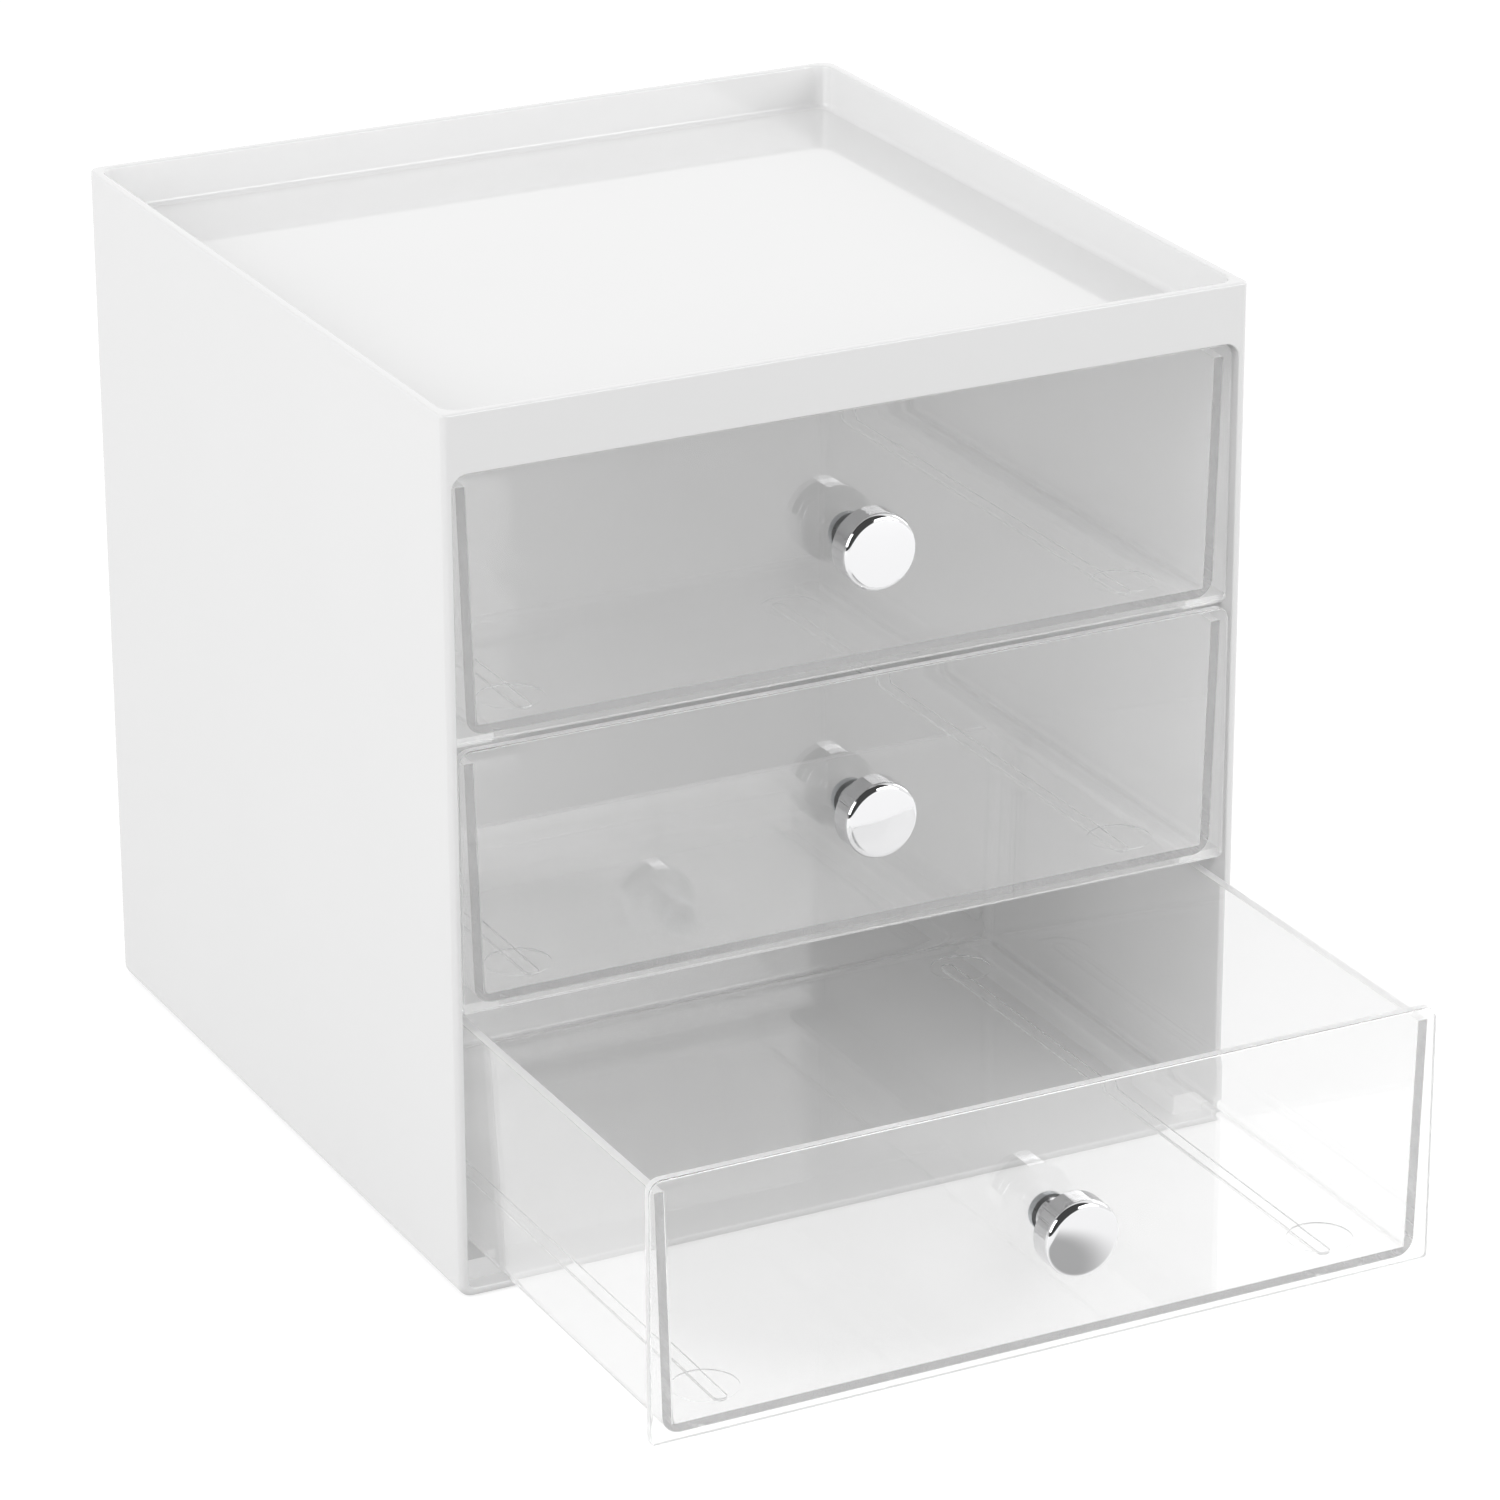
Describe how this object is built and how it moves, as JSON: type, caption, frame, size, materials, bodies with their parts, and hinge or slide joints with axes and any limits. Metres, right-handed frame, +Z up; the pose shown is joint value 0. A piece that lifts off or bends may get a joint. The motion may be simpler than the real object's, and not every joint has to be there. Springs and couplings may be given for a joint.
{
  "type": "drawer organizer",
  "caption": "White plastic countertop organizer with a tray top and clear sliding drawers with round metal knobs; the bottom drawer stands open.",
  "frame": {"origin": "centre of the case's footprint, on the surface that it stands on", "axes": "+Z up, -Y out of the front along the drawers' travel, +X to the right of someone who faces the drawers"},
  "size_m": [0.165, 0.2555, 0.173],
  "materials": {
    "white_plastic": "satin moulded white plastic, fully opaque",
    "clear_plastic": "clear moulded plastic, polished",
    "chrome": "mirror-bright chrome plating on turned metal",
    "zinc_steel": "bright zinc-plated steel"
  },
  "bodies": {
    "case": {"case": "white_plastic"},
    "drawer_top": {"drawer_top": "clear_plastic", "knob_top": "chrome", "screw_top": "zinc_steel"},
    "drawer_middle": {"drawer_middle": "clear_plastic", "knob_middle": "chrome", "screw_middle": "zinc_steel"},
    "drawer_bottom": {"drawer_bottom": "clear_plastic", "knob_bottom": "chrome", "screw_bottom": "zinc_steel"}
  },
  "joints": [
    {"name": "top_slide", "type": "slide", "parent": "case", "child": "drawer_top", "axis": [0, -1, 0], "range_m": [0, 0.12]},
    {"name": "middle_slide", "type": "slide", "parent": "case", "child": "drawer_middle", "axis": [0, -1, 0], "range_m": [-0.0012, 0.1188]},
    {"name": "bottom_slide", "type": "slide", "parent": "case", "child": "drawer_bottom", "axis": [0, -1, 0], "range_m": [-0.0773, 0.0427]}
  ]
}
